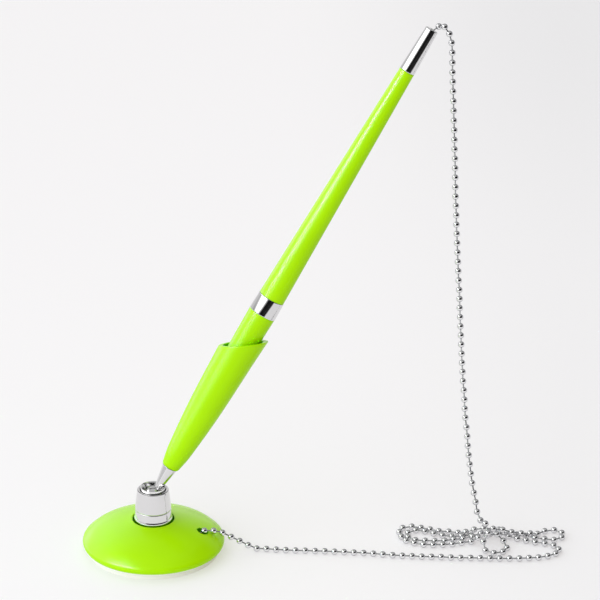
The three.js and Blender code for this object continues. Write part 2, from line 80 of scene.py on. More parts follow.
# centres of the chain's beads, as in the CAD
CHAIN_ROUTE = [
    [18.2, -5.4, 8.9], [21.6, -5, 11.4], [25.5, -4.2, 11], [29.2, -3.1, 9.5], [32.9, -3.1, 7.5], [36.5, -3, 5.5],
    [40.1, -3, 3.5], [43.7, -2.4, 1.6], [47.8, -2.3, 1.3], [51.9, -2.9, 1.3], [56, -3.4, 1.3], [60.1, -3.7, 1.3],
    [64.2, -3.9, 1.3], [68.4, -4.2, 1.3], [72.5, -4.4, 1.3], [76.6, -4.8, 1.3], [80.7, -5.2, 1.3], [84.8, -5.6, 1.3],
    [88.9, -6, 1.3], [93, -6.6, 1.3], [97, -7.3, 1.3], [101.1, -8, 1.3], [105.2, -8.5, 1.3], [109.3, -8.9, 1.3],
    [113.4, -9.3, 1.3], [117.5, -9.5, 1.3], [121.6, -9.7, 1.3], [125.7, -10.1, 1.3], [129.8, -10.5, 1.3],
    [134, -10.5, 1.3], [138.1, -10.7, 1.3], [142.2, -10.9, 1.3], [146.3, -11.1, 1.3], [150.4, -11, 1.3],
    [154.6, -11, 1.3], [158.7, -10.6, 1.3], [162.7, -10.1, 1.3], [166.7, -8.8, 1.3], [170.1, -6.6, 1.3],
    [171.6, -2.8, 1.3], [169.6, 0.8, 1.3], [165.9, 2.7, 1.3], [161.9, 3.8, 1.3], [158.1, 5.4, 1.3], [154.4, 7.2, 1.3],
    [150.8, 9.32, 1.3], [147, 11.54, 1.3], [143, 11.53, 1.3], [138.9, 11.1, 1.3], [134.9, 10.1, 1.3], [130.8, 9.5, 1.3],
    [126.7, 9.2, 1.3], [122.7, 10.1, 1.3], [119, 12, 1.3], [115.3, 13.9, 1.3], [111.4, 14.9, 1.3], [108.1, 12.5, 1.3],
    [108, 8.4, 1.3], [111.1, 5.7, 1.3], [115.2, 5.2, 1.3], [119.3, 5, 1.3], [123.5, 5.2, 1.3], [127.4, 6.3, 1.3],
    [131.4, 6.99, 1.35], [135.3, 6.6, 2.6], [139, 8.3, 3.2], [142.8, 9.78, 3.16], [146.7, 10.77, 3.75], [150.3, 11.84, 1.5],
    [154.4, 11, 1.3], [158.1, 9.64, 1.3], [162, 7.8, 1.3], [166, 6.7, 1.3], [170, 5.9, 1.3], [173.4, 8.3, 1.3],
    [173.6, 12.4, 1.3], [170.5, 15, 1.3], [166.4, 14.1, 1.3], [163.2, 11.5, 1.3], [160, 8.96, 2.9], [156.1, 8.4, 3.2],
    [152.1, 8.95, 3.5], [148.2, 8.89, 4.69], [144.2, 8.89, 5.15], [140.1, 8.7, 5.5], [136.1, 9.2, 4.6], [132.6, 10.61, 2.75],
    [129.4, 12.5, 1.3], [125.4, 13.6, 1.3], [121.3, 14, 1.3], [117.6, 15.6, 1.3], [113.7, 17.1, 1.3],
    [109.8, 18.3, 1.3], [105.9, 17, 1.3], [104.4, 13.1, 1.3], [105.2, 9.1, 1.3], [107.1, 5.4, 1.3], [110.5, 3.1, 1.3],
    [114.4, 1.7, 1.3], [118.5, 1.4, 1.3], [122.6, 1.6, 1.3], [126.7, 2.1, 1.3], [130.6, 3.4, 1.3], [134.7, 3.9, 1.6],
    [137.6, 2.6, 4.2], [141.4, 1.9, 5.6], [145.5, 2.6, 5.8], [148.29, 2.1, 2.95], [149.67, -1.4, 1.33], [147.85, -5.1, 1.44],
    [144.02, -6.6, 1.57], [140.49, -4.5, 1.71], [139.66, -1.1, 4.18], [141.72, -0.1, 7.75], [140.58, 2.6, 10.84],
    [138.63, 6.3, 10.54], [137.19, 9.4, 13.05], [136.63, 10.7, 16.94], [135.87, 12.4, 20.52], [135.11, 14, 24.3],
    [134.54, 15.3, 28.07], [134.06, 16.5, 31.94], [133.58, 17.4, 35.9], [133.2, 18.2, 39.86], [132.92, 19, 43.92],
    [132.53, 19.8, 47.87], [132.04, 20.9, 51.82], [131.75, 21.5, 55.77], [131.56, 22, 59.81], [131.27, 22.7, 63.85],
    [130.87, 23.4, 67.79], [130.68, 24, 71.83], [130.38, 24.5, 75.87], [130.18, 25, 79.9], [129.98, 25.5, 83.94],
    [129.78, 25.9, 87.98], [129.59, 26.3, 92.02], [129.39, 26.7, 96.07], [129.19, 27.1, 100.11], [129.09, 27.4, 104.16],
    [128.89, 27.7, 108.21], [128.59, 28.3, 112.27], [128.39, 28.8, 116.34], [128.19, 29.2, 120.4], [127.99, 29.7, 124.48],
    [127.79, 30.2, 128.56], [127.59, 30.6, 132.65], [127.39, 30.9, 136.74], [127.29, 31.2, 140.85], [127.09, 31.6, 144.96],
    [126.88, 31.9, 149.08], [126.78, 32.2, 153.2], [126.67, 32.5, 157.44], [126.57, 32.7, 161.58], [126.46, 33, 165.73],
    [126.25, 33.2, 169.89], [126.14, 33.4, 174.06], [126.02, 33.8, 178.23], [125.81, 34.1, 182.42], [125.69, 34.4, 186.7],
    [125.56, 34.7, 190.9], [125.34, 35, 195.1], [125.2, 35.2, 199.3], [125, 34.9, 203.61], [124.9, 34.9, 207.97],
    [124.8, 34.9, 212.36], [124.5, 35, 216.7], [123.56, 35.6, 220.45], [121.59, 36.9, 223.03], [119.27, 39.3, 222.27],
    [115.3, 38.8, 219.6],
]


# ------------------------------------------------------------------ materials
def material(name, color, rough, metal=0.0, ior=1.46, shine=0.5, grain=0.0, grain_scale=400.0, vary=0.0, tone=0.0, edge=None):
    """Principled surface; vary breaks up the roughness a little, tone the colour, and grain adds a fine bump."""
    m = bpy.data.materials.new(name)
    m.use_nodes = True
    t = m.node_tree
    p = t.nodes["Principled BSDF"]
    p.inputs["Base Color"].default_value = (*color, 1.0)
    p.inputs["Roughness"].default_value = rough
    p.inputs["Metallic"].default_value = metal
    p.inputs["IOR"].default_value = ior
    p.inputs["Specular IOR Level"].default_value = shine
    if edge:
        p.inputs["Specular Tint"].default_value = (*edge, 1.0)
    if vary or grain or tone:
        at = t.nodes.new("ShaderNodeTexCoord")
        if vary:
            n = t.nodes.new("ShaderNodeTexNoise")
            n.inputs["Scale"].default_value = 60.0
            n.inputs["Detail"].default_value = 3.0
            t.links.new(at.outputs["Object"], n.inputs["Vector"])
            r = t.nodes.new("ShaderNodeMapRange")
            r.inputs["To Min"].default_value = rough - vary
            r.inputs["To Max"].default_value = rough + vary
            t.links.new(n.outputs["Fac"], r.inputs["Value"])
            t.links.new(r.outputs["Result"], p.inputs["Roughness"])
        if tone:
            n = t.nodes.new("ShaderNodeTexNoise")
            n.inputs["Scale"].default_value = 45.0
            n.inputs["Detail"].default_value = 2.0
            t.links.new(at.outputs["Object"], n.inputs["Vector"])
            r = t.nodes.new("ShaderNodeValToRGB")
            for stop, place, k in zip(r.color_ramp.elements, (0.3, 0.7), (1 - tone, 1 + tone)):
                stop.position = place
                stop.color = (*(min(c * k, 1.0) for c in color), 1.0)
            t.links.new(n.outputs["Fac"], r.inputs["Fac"])
            t.links.new(r.outputs["Color"], p.inputs["Base Color"])
        if grain:
            n = t.nodes.new("ShaderNodeTexNoise")
            n.inputs["Scale"].default_value = grain_scale
            n.inputs["Detail"].default_value = 2.0
            t.links.new(at.outputs["Object"], n.inputs["Vector"])
            b = t.nodes.new("ShaderNodeBump")
            b.inputs["Strength"].default_value = grain
            b.inputs["Distance"].default_value = 0.0002
            t.links.new(n.outputs["Fac"], b.inputs["Height"])
            t.links.new(b.outputs["Normal"], p.inputs["Normal"])
    return m


LIME = material("lime_plastic", (0.378, 0.760, 0.0005), 0.20, ior=1.46, shine=0.11, vary=0.02, tone=0.025)
# painted shade: darker, greener copies of the lime plastic for the faces inside the foot's well and chain hole, and
# inside the sheath's bore
LIME_PAINTED_SHADE = material("lime_plastic_painted_shade", (0.10, 0.50, 0.001), 0.6, shine=0.0, tone=0.03)
SHEATH_BORE_PAINTED_SHADE = material("lime_plastic_bore_painted_shade", (0.17, 0.66, 0.001), 0.6, shine=0.0, tone=0.03)
WHITE = material("white_plastic", (0.86, 0.86, 0.84), 0.42, vary=0.04, tone=0.015)
FOAM = material("foam", (0.84, 0.84, 0.81), 0.9, grain=0.6, grain_scale=2500.0)
CHROME = material("chrome", (0.74, 0.735, 0.74), 0.06, metal=1.0, vary=0.02)
COLLET = material("chrome_collet", (0.97, 0.97, 0.97), 0.15, metal=1.0, vary=0.03)
PLATED = material("plated_chain", (0.84, 0.84, 0.85), 0.04, metal=1.0, vary=0.015, edge=(0.10, 0.12, 0.16))
PIN = material("plated_pin", (0.52, 0.53, 0.54), 0.20, metal=1.0)
STEEL = material("steel", (0.55, 0.56, 0.57), 0.34, metal=1.0, vary=0.08)
BRASS = material("brass", (0.72, 0.55, 0.25), 0.28, metal=1.0, vary=0.05)
NYLON = material("nylon", (0.02, 0.02, 0.022), 0.5, vary=0.05)
CLEAR = material("clear_plastic", (0.55, 0.60, 0.72), 0.2)


# ------------------------------------------------------------------ mesh helpers
def make(name, verts, faces, mat, where=HERE, smooth_angle=35.0):
    """A mesh piece from millimetre points in the frame of `where`."""
    me = bpy.data.meshes.new(name)
    pts = [(where @ Vector(v)) * MM for v in verts]
    me.from_pydata([tuple(p) for p in pts], [], faces)
    me.validate()
    me.update()
    for p in me.polygons:
        p.use_smooth = True
    me.set_sharp_from_angle(angle=math.radians(smooth_angle))
    me.materials.append(mat)
    o = bpy.data.objects.new(name, me)
    scene.collection.objects.link(o)
    return o


def spline(points, n):
    """Smooth curve through [radius, height] points, by height (monotone cubic)."""
    z = np.array([p[1] for p in points], float)
    r = np.array([p[0] for p in points], float)
    h, d = np.diff(z), np.diff(r) / np.diff(z)
    m = np.zeros(len(z))
    for i in range(1, len(z) - 1):
        if d[i - 1] * d[i] > 0:
            w1, w2 = 2 * h[i] + h[i - 1], h[i] + 2 * h[i - 1]
            m[i] = (w1 + w2) / (w1 / d[i - 1] + w2 / d[i])
    m[0], m[-1] = d[0], d[-1]
    out = []
    for q in np.linspace(z[0], z[-1], n):
        k = min(max(np.searchsorted(z, q, side="right") - 1, 0), len(h) - 1)
        t = (q - z[k]) / h[k]
        v = ((2 * t**3 - 3 * t**2 + 1) * r[k] + (t**3 - 2 * t**2 + t) * h[k] * m[k]
             + (-2 * t**3 + 3 * t**2) * r[k + 1] + (t**3 - t**2) * h[k] * m[k + 1])
        out.append((float(v), float(q)))
    return out


def rounded(points, steps=5):
    """[radius, height, fillet] corners to a polyline with round fillets; fillet may be left out."""
    out = []
    n = len(points)
    for i, p in enumerate(points):
        f = p[2] if len(p) > 2 else 0.0
        if not f or i == 0 or i == n - 1:
            out.append((p[0], p[1]))
            continue
        a, b, c = Vector(points[i - 1][:2]), Vector(p[:2]), Vector(points[i + 1][:2])
        u, v = (a - b), (c - b)
        f1, f2 = min(f, u.length * 0.49), min(f, v.length * 0.49)
        p1, p2 = b + u.normalized() * f1, b + v.normalized() * f2
        for k in range(steps + 1):
            t = k / steps
            q = p1 * (1 - t) ** 2 + b * 2 * t * (1 - t) + p2 * t * t
            out.append((q.x, q.y))
    return out


def lathe(name, profile, mat, where=HERE, segments=96, closed=False, smooth_angle=35.0):
    """Turns [radius, height] points about the local +Z. A closed profile joins its end to its start."""
    verts, rings = [], []
    for r, z in profile:
        if r < 1e-6:
            rings.append([len(verts)])
            verts.append((0, 0, z))
        else:
            rings.append(list(range(len(verts), len(verts) + segments)))
            for i in range(segments):
                t = 2 * math.pi * i / segments
                verts.append((r * math.cos(t), r * math.sin(t), z))
    faces = []
    pairs = list(zip(rings, rings[1:])) + ([(rings[-1], rings[0])] if closed else [])
    for a, b in pairs:
        for i in range(segments):
            j = (i + 1) % segments
            if len(a) == 1 and len(b) == 1:
                continue
            if len(a) == 1:
                faces.append((a[0], b[j], b[i]))
            elif len(b) == 1:
                faces.append((a[i], a[j], b[0]))
            else:
                faces.append((a[i], a[j], b[j], b[i]))
    area = 0.0  # signed area of the profile in the (r, z) plane, to face the surface outwards
    q = profile
    for k in range(len(q)):
        (r0, z0), (r1, z1) = q[k], q[(k + 1) % len(q)]
        area += r0 * z1 - r1 * z0
    if area < 0:
        faces = [tuple(reversed(f)) for f in faces]
    return make(name, verts, faces, mat, where, smooth_angle)


def boolean(o, cutters, operation="DIFFERENCE"):
    """Cuts o by each cutter (scene objects, then removed)."""
    for c in cutters:
        m = o.modifiers.new("cut", "BOOLEAN")
        m.object, m.operation, m.solver = c, operation, "EXACT"
    dg = bpy.context.evaluated_depsgraph_get()
    me = bpy.data.meshes.new_from_object(o.evaluated_get(dg))
    o.modifiers.clear()
    old = o.data
    o.data = me
    bpy.data.meshes.remove(old)
    for c in cutters:
        bpy.data.objects.remove(c)
    for p in o.data.polygons:
        p.use_smooth = True
    o.data.set_sharp_from_angle(angle=math.radians(35))
    return o


def paint(name, mat):
    me = NODES[name].data
    me.materials.clear()
    me.materials.append(mat)
    for p in me.polygons:
        p.material_index = 0


# ------------------------------------------------------------------ the ball chain
def sphere_mesh(seg=18, rings=11):
    v, f = [(0, 0, -1.0)], []
    for k in range(1, rings):
        a = -math.pi / 2 + math.pi * k / rings
        for i in range(seg):
            t = 2 * math.pi * i / seg
            v.append((math.cos(a) * math.cos(t), math.cos(a) * math.sin(t), math.sin(a)))
    v.append((0, 0, 1.0))
    for i in range(seg):
        j = (i + 1) % seg
        f.append((0, 1 + j, 1 + i))
        for k in range(rings - 2):
            a, b = 1 + k * seg, 1 + (k + 1) * seg
            f.append((a + i, a + j, b + j, b + i))
        a = 1 + (rings - 2) * seg
        f.append((a + i, a + j, len(v) - 1))
    return v, f


BEAD_V, BEAD_F = sphere_mesh()


def beads(name, first, last, first_pin=True, last_pin=True, skip=()):
    """Beads first..last of the route with the pins between them, and, unless last_pin is off, the pin on to the next
    bead after the last one. Returns the piece, the route's points and each vertex's place along the route, in beads."""
    verts, faces, place, kinds = [], [], [], []
    pts = [Vector((x, y, max(z, BEAD_R))) for x, y, z in CHAIN_ROUTE]

    def bead(k):
        base = len(verts)
        a = pts[max(k - 1, 0)]
        b = pts[min(k + 1, len(pts) - 1)]
        turn = (b - a).normalized().to_track_quat("Z", "Y").to_matrix()
        for v in BEAD_V:
            verts.append(pts[k] + turn @ (Vector(v) * BEAD_R))
            place.append(float(k))
        faces.extend(tuple(base + i for i in f) for f in BEAD_F)
        kinds.extend([0] * len(BEAD_F))

    def pin(p, q, kp, kq):
        base, n = len(verts), 8
        d = (q - p).normalized()
        turn = d.to_track_quat("Z", "Y").to_matrix()
        for end, k in ((p, kp), (q, kq)):
            for i in range(n):
                t = 2 * math.pi * i / n
                verts.append(end + turn @ Vector((PIN_R * math.cos(t), PIN_R * math.sin(t), 0)))
                place.append(float(k))
        for i in range(n):
            j = (i + 1) % n
            faces.append((base + i, base + j, base + n + j, base + n + i))
        faces.append(tuple(base + i for i in reversed(range(n))))
        faces.append(tuple(base + n + i for i in range(n)))
        kinds.extend([1] * (n + 2))

    for k in range(first, last + 1):
        if k not in skip:
            bead(k)
        if k < last:
            d = (pts[k + 1] - pts[k]).normalized()
            pin(pts[k] + d * (CHAIN_R * 0.85), pts[k + 1] - d * (CHAIN_R * 0.85), k, k + 1)
    if last_pin and last + 1 < len(pts):
        d = (pts[last + 1] - pts[last]).normalized()
        pin(pts[last] + d * (CHAIN_R * 0.85), pts[last + 1] - d * (CHAIN_R * 0.85), last, last + 1)
    o = make(name, verts, faces, PLATED, smooth_angle=60)
    o.data.materials.append(PIN)
    for f, kind in zip(o.data.polygons, kinds):
        f.material_index = kind
    line = pts[first:last + 1]
    if last_pin and last + 1 < len(pts):
        line.append(pts[last + 1] - (pts[last + 1] - pts[last]).normalized() * CHAIN_R)
    return o, [tuple(p * MM) for p in line], place


def stretch(o):
    """Bakes the piece's placement into its mesh."""
    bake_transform(o)
    return o


LEAD0, LEAD1, HEAP1, MID, LAST = 0, 20, 115, 143, 170
lead, lead_path, lead_place = beads("chain_lead_beads", LEAD0, LEAD1)
heap, heap_path, _ = beads("chain_heap_beads", LEAD1 + 1, HEAP1)
low, low_path, low_place = beads("chain_lower_beads", HEAP1 + 1, MID)
high, high_path, high_place = beads("chain_upper_beads", MID + 1, LAST - 1)

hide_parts("chain_lead")
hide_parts("chain_front_run", "chain_pile")
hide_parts("chain_hang_lower")
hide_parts("chain_hang_upper")
stretch(lead)
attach(heap, "socket")
stretch(low)
stretch(high)

# ------------------------------------------------------------------ the foot
pad = lathe("foot_pad", rounded([(0, 0), (27.6, 0, 0.15), (27.6, 1.5, 0.15), (0, 1.5)]), FOAM, segments=160)
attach(pad, "root"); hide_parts("adhesive_pad")

plate = lathe("foot_plate", rounded([(4.6, 1.52), (27.7, 1.52, 0.25), (27.8, 3.0, 0.1), (26.3, 3.05), (26.3, 4.4, 0.1), (24.7, 4.4, 0.1), (24.7, 3.0), (4.6, 3.0)]),
              WHITE, segments=160, closed=True)
cuts = []
for deg in (46, 166, 286):
    x, y = 17 * math.cos(math.radians(deg)), 17 * math.sin(math.radians(deg))
    cuts.append(lathe("cut", [(0, 1.0), (2.5, 1.0), (2.5, 2.4), (1.2, 2.4), (1.2, 4.0), (0, 4.0)], WHITE, Matrix.Translation((x, y, 0)), 32))
boolean(plate, cuts)
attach(plate, "root"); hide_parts("base_plate")

# domed cover: crowned from the well down to a soft crease, then a short side that turns under
dome = spline([(29.3, 6.2), (28.0, 7.4), (25.5, 9.3), (22.0, 11.05), (18.0, 12.6), (14.0, 13.82), (9.5, 14.92)], 40)
outer = [(29.0, 3.1), (29.25, 3.14), (29.5, 3.3), (29.72, 3.62), (29.88, 4.0), (29.98, 4.4), (30.0, 4.7), (29.95, 5.05), (29.82, 5.5), (29.62, 5.86)]
inner = [(8.8, 14.35), (8.8, 12.9), (4.7, 12.9), (4.7, 10.9), (10.6, 10.9), (11.0, 12.45), (15.0, 11.55), (20.0, 9.85), (24.5, 7.5), (26.6, 5.6), (26.6, 3.1)]
rim = [(9.3, 14.97), (9.1, 14.97), (8.95, 14.9), (8.84, 14.75)]
cover = lathe("foot_cover", outer + dome + rim + inner, LIME, segments=192, closed=True, smooth_angle=40)
cuts = []
for deg in (46, 166, 286):
    x, y = 17 * math.cos(math.radians(deg)), 17 * math.sin(math.radians(deg))
    post = lathe("post", [(1.15, 3.3), (2.6, 3.3), (2.6, 11.6), (1.15, 11.6)], LIME, Matrix.Translation((x, y, 0)), 32, closed=True)
    cuts.append(post)
boolean(cover, cuts, "UNION")
HOLE_AT, HOLE_DIR = Vector((20.6, -5.1, 11.0)), Vector((0.8, 0.087, 0.594)).normalized()
hole_where = Matrix.Translation(HOLE_AT) @ HOLE_DIR.to_track_quat("Z", "Y").to_matrix().to_4x4()
boolean(cover, [lathe("cut", [(0, -4.5), (2.1, -4.5), (2.1, 4.5), (0, 4.5)], LIME, hole_where, 40)])
# painted shade: the faces inside the well and along the chain hole take the darker copy of the lime
cover.data.materials.append(LIME_PAINTED_SHADE)
for f in cover.data.polygons:
    c = f.center / MM
    r = math.hypot(c.x, c.y)
    if r < 8.83 or (r > 9 and abs((c - HOLE_AT).cross(HOLE_DIR).length - 2.1) < 0.1 and (c - HOLE_AT).length < 5):
        f.material_index = 1
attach(cover, "root"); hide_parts("base_cover")

# ------------------------------------------------------------------ the turret
ferrule = lathe("turret", rounded([
    (0, 15.2), (1.3, 15.2), (1.3, 10.6), (4.4, 10.6), (4.4, 13.4, 0.1), (8.2, 13.4, 0.1), (8.2, 15.5, 0.7), (7.95, 16.2, 0.08),
    (7.62, 19.35, 0.12), (7.50, 19.5, 0.06), (7.50, 19.68, 0.06), (7.64, 19.85, 0.12), (7.3, 23.4, 0.5), (6.68, 28.5, 0.12), (6.2, 28.62, 0.1),
    (5.6, 28.55, 0.1), (5.6, 17.2), (0, 17.2)]), CHROME, segments=128)
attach(ferrule, "socket"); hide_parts("socket_ferrule")

collet = lathe("collet", rounded([
    (3.4, 23.5), (5.35, 23.5, 0.1), (5.3, 29.85, 0.3), (4.95, 29.75, 0.2), (4.45, 29.15, 0.3), (4.0, 28.2, 0.3), (3.72, 27.3, 0.1), (3.62, 27.0)]
    + [(math.sqrt(max(4.3**2 - (z - BALL_Z) ** 2, 0)), z) for z in np.linspace(27.0, 23.5, 12)][1:]), COLLET, segments=96, closed=True)
cuts = []
for i in range(3):
    turn = LEAN_AZIMUTH + math.radians(30 + 60 * i)
    bm = bmesh.new()
    bmesh.ops.create_cube(bm, size=1.0)
    bm.transform(Matrix.Translation(Vector((0, 0, 28.1)) * MM) @ Matrix.Rotation(turn, 4, "Z") @ Matrix.Diagonal((0.7 * MM, 9.6 * MM, 4.2 * MM, 1)))
    me = bpy.data.meshes.new("slot")
    bm.to_mesh(me)
    bm.free()
    o = bpy.data.objects.new("slot", me)
    scene.collection.objects.link(o)
    cuts.append(o)
boolean(collet, cuts)
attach(collet, "socket"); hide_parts("socket_collet")

# ------------------------------------------------------------------ ball stud, leaning
ball = [(4.0 * math.cos(t), 4.0 * math.sin(t)) for t in np.linspace(-math.pi / 2, math.acos(1.5 / 4.0), 30)]
ball[0] = (0, -4.0)
stud = lathe("stud", ball + rounded([ball[-1], (1.52, 4.2, 0.3), (1.75, 5.4, 0.5), (3.28, 14.3, 0.1), (3.2, 14.42, 0.05), (1.9, 14.42), (1.9, 18.6, 0.3), (0, 19.2)])[1:],
             CHROME, HOLDER, 96)
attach(stud, "stud"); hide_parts("ball_stud")

# ------------------------------------------------------------------ sheath with a slanted mouth
n_local = HOLDER.to_3x3().inverted() @ MOUTH_NORMAL
SH_OUT = spline([(4.05, 15.9), (5.1, 21.4), (5.8, 27.9), (6.4, 34.3), (7.0, 42.0), (7.5, 50.5), (7.9, 60.0), (8.28, 70.0), (8.6, 76.45), (9.1, 86.0)], 200)
SH_IN = spline([(1.5, 23.6), (2.3, 27.0), (3.4, 31.0), (4.3, 36.0), (5.1, 42.0), (5.8, 51.0), (6.3, 60.0), (6.65, 70.0), (7.0, 76.45), (7.35, 86.0)], 160)


def radius_at(curve, s):
    return float(np.interp(s, [p[1] for p in curve], [p[0] for p in curve]))


def meet(curve, t):
    """Where the mouth plane cuts a surface of the sheath at angle t."""
    s = MOUTH_S
    for _ in range(12):
        r = radius_at(curve, s)
        s = MOUTH_S - (n_local.x * r * math.cos(t) + n_local.y * r * math.sin(t)) / n_local.z
    return s


N = 144
verts, faces, columns = [], [], []
for i in range(N):
    t = 2 * math.pi * i / N
    so, si = meet(SH_OUT, t), meet(SH_IN, t)
    col = [(2.25, 19.6), (2.25, 14.6), (2.4, 14.5), (3.1, 14.5), (3.45, 14.6), (3.75, 14.95), (3.95, 15.45)]
    f = 0.5
    for k in range(60):
        s = 15.9 + (so - f - 15.9) * k / 59
        col.append((radius_at(SH_OUT, s), s))
    po, pi = Vector((radius_at(SH_OUT, so), so)), Vector((radius_at(SH_IN, si), si))
    across = (pi - po).normalized()
    p0 = Vector(col[-1])
    for k in range(1, 6):
        u = k / 5
        q = p0 * (1 - u) ** 2 + po * 2 * u * (1 - u) + (po + across * f) * u * u
        col.append((q.x, q.y))
    p1, p2 = pi - across * 0.35, Vector((radius_at(SH_IN, si - 0.4), si - 0.4))
    for k in range(0, 5):
        u = k / 4
        q = p1 * (1 - u) ** 2 + pi * 2 * u * (1 - u) + p2 * u * u
        col.append((q.x, q.y))
    for k in range(1, 40):
        s = (si - 0.4) + (23.6 - (si - 0.4)) * k / 39
        col.append((radius_at(SH_IN, s), s))
    columns.append([(r * math.cos(t), r * math.sin(t), s) for r, s in col])
rows = len(columns[0])
for c in columns:
    verts.extend(c)
base_in = len(verts)
verts.append((0, 0, 23.6))
base_out = len(verts)
verts.append((0, 0, 19.6))
for i in range(N):
    j = (i + 1) % N
    for k in range(rows - 1):
        faces.append((i * rows + k, j * rows + k, j * rows + k + 1, i * rows + k + 1))
    faces.append((i * rows + rows - 1, j * rows + rows - 1, base_in))
    faces.append((j * rows, i * rows, base_out))
sheath = make("holder_sheath", verts, faces, LIME, HOLDER, 40)
# painted shade: the faces inside the sheath's bore take a darker, greener copy of the lime
sheath.data.materials.append(SHEATH_BORE_PAINTED_SHADE)
for k, f in enumerate(sheath.data.polygons):
    if k % (rows + 1) >= rows - 41:
        f.material_index = 1
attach(sheath, "sheath"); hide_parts("sheath")

# ------------------------------------------------------------------ pen
def barrel_r(s):
    return 5.9 - (91.65 - s) * (0.023 if s > 74 else 0.025) if s <= 91.65 else 5.65 - (s - 99.35) * 0.0208


def line(s0, s1, n):
    return [(barrel_r(s), s) for s in np.linspace(s0, s1, n)]


nose = lathe("pen_nose", rounded([
    (1.1, 26.4), (1.35, 26.4, 0.1), (1.5, 26.6, 0.1), (2.6, 33.0, 1.5), (3.35, 38.0, 2.0), (4.22, 45.9, 0.12), (4.15, 46.05), (3.2, 46.05),
    (3.2, 52.0, 0.2), (2.3, 52.0), (2.3, 40.0), (1.55, 34.0), (1.1, 29.0)]), LIME, PEN, 80, closed=True)
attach(nose, "pen"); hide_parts("nose_cone")

lower = lathe("pen_lower_barrel", rounded([(3.55, 46.15), (4.2, 46.15), (4.27, 46.3, 0.1)]) + spline([(4.27, 46.4), (4.95, 60.0), (5.5, 74.0), (5.86, 90.0)], 30)
              + rounded([(5.86, 90.0), (5.89, 91.5, 0.12), (5.75, 91.6), (4.5, 91.6)])[1:] + [(4.5, 83.0), (4.0, 82.0), (3.55, 60.0)], LIME, PEN, 96, closed=True)
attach(lower, "pen"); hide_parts("lower_barrel")

ring = lathe("pen_ring", rounded([
    (4.15, 91.62), (5.92, 91.62, 0.1), (6.02, 91.8, 0.1), (5.82, 99.2, 0.1), (5.74, 99.38, 0.1), (4.15, 99.38), (4.15, 107.0), (3.35, 107.0), (3.35, 84.2), (4.15, 84.2)]),
             CHROME, PEN, 96, closed=True)
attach(ring, "pen"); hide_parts("centre_ring")

upper = lathe("pen_upper_barrel", rounded([(4.48, 99.4), (5.5, 99.4), (5.62, 99.5, 0.1)]) + line(99.8, 209.6, 24)
              + rounded([(barrel_r(209.6), 209.6), (3.36, 210.6, 0.15), (3.15, 210.75), (2.35, 210.75)])[1:]
              + [(2.35, 200.0), (3.0, 170.0), (4.0, 112.0), (4.48, 108.5)], LIME, PEN, 96, closed=True)
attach(upper, "pen"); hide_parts("upper_barrel")

cap = lathe("pen_tail_cap", rounded([
    (2.0, 210.8), (3.3, 210.8, 0.08), (3.4, 211.0, 0.1), (2.8, 230.8, 0.25), (2.5, 231.1, 0.2), (1.0, 231.15, 0.12), (0.85, 231.0, 0.05), (0.85, 230.65), (1.6, 230.65), (1.6, 203.0), (2.0, 203.0)]),
            CHROME, PEN, 80, closed=True)
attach(cap, "pen"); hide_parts("tail_cap")

point = lathe("pen_point", rounded([
    (0, 25.65), (0.5, 25.65), (0.5, 25.0, 0.05), (0.58, 25.0, 0.05), (0.72, 25.5, 0.3), (0.78, 28.5, 0.3), (1.2, 33.5, 0.3), (1.2, 37.7, 0.1), (0.85, 37.7), (0.85, 41.5), (0, 41.5)]),
              BRASS, PEN, 48)
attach(point, "pen"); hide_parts("refill_point")
writing = lathe("pen_writing_ball", [(0.5 * math.cos(t), 25.0 + 0.5 * math.sin(t)) if abs(t) < 1.57 else (0, 25.0 + math.copysign(0.5, t)) for t in np.linspace(-math.pi / 2, math.pi / 2, 14)],
                STEEL, PEN, 28)
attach(writing, "pen"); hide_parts("point_ball")

for name, mat in {
    "weight_disc": STEEL, "plate_screw_1": STEEL, "plate_screw_2": STEEL, "plate_screw_3": STEEL, "chain_stop": PLATED, "socket_screw": STEEL,
    "socket_washer": STEEL, "seat_spring": STEEL, "ball_seat": NYLON, "refill_tube": CLEAR, "refill_plug": WHITE, "chain_end_bead": PLATED,
}.items():
    paint(name, mat)

# ------------------------------------------------------------------ floor, which glows with painted light of its own and thins away far in front on the right
me = bpy.data.meshes.new("floor")
me.from_pydata([(-2.6, -1.3, 0), (1.6, -1.3, 0), (1.6, 2.6, 0), (-2.6, 2.6, 0)], [], [(0, 1, 2, 3)])
floor = bpy.data.objects.new("floor", me)
floor.location = (0, 0, -0.00002)
scene.collection.objects.link(floor)
FLOOR_PAINTED_GLOW = 0.42  # the share of the floor's brightness that is painted light, a glow of its own, so that shadows on it stay pale
FLOOR = material("floor", tuple(v * (1 - FLOOR_PAINTED_GLOW) for v in (0.886, 0.934, 0.987)), 0.8, ior=1.25)
# painted light: the glow is warm, so the pale shadows on the floor come out warm; the base colour above is bluer so
# that the lit floor stays white
FLOOR.node_tree.nodes["Principled BSDF"].inputs["Emission Color"].default_value = (0.950, 0.885, 0.865, 1.0)
FLOOR.node_tree.nodes["Principled BSDF"].inputs["Emission Strength"].default_value = FLOOR_PAINTED_GLOW
me.materials.append(FLOOR)


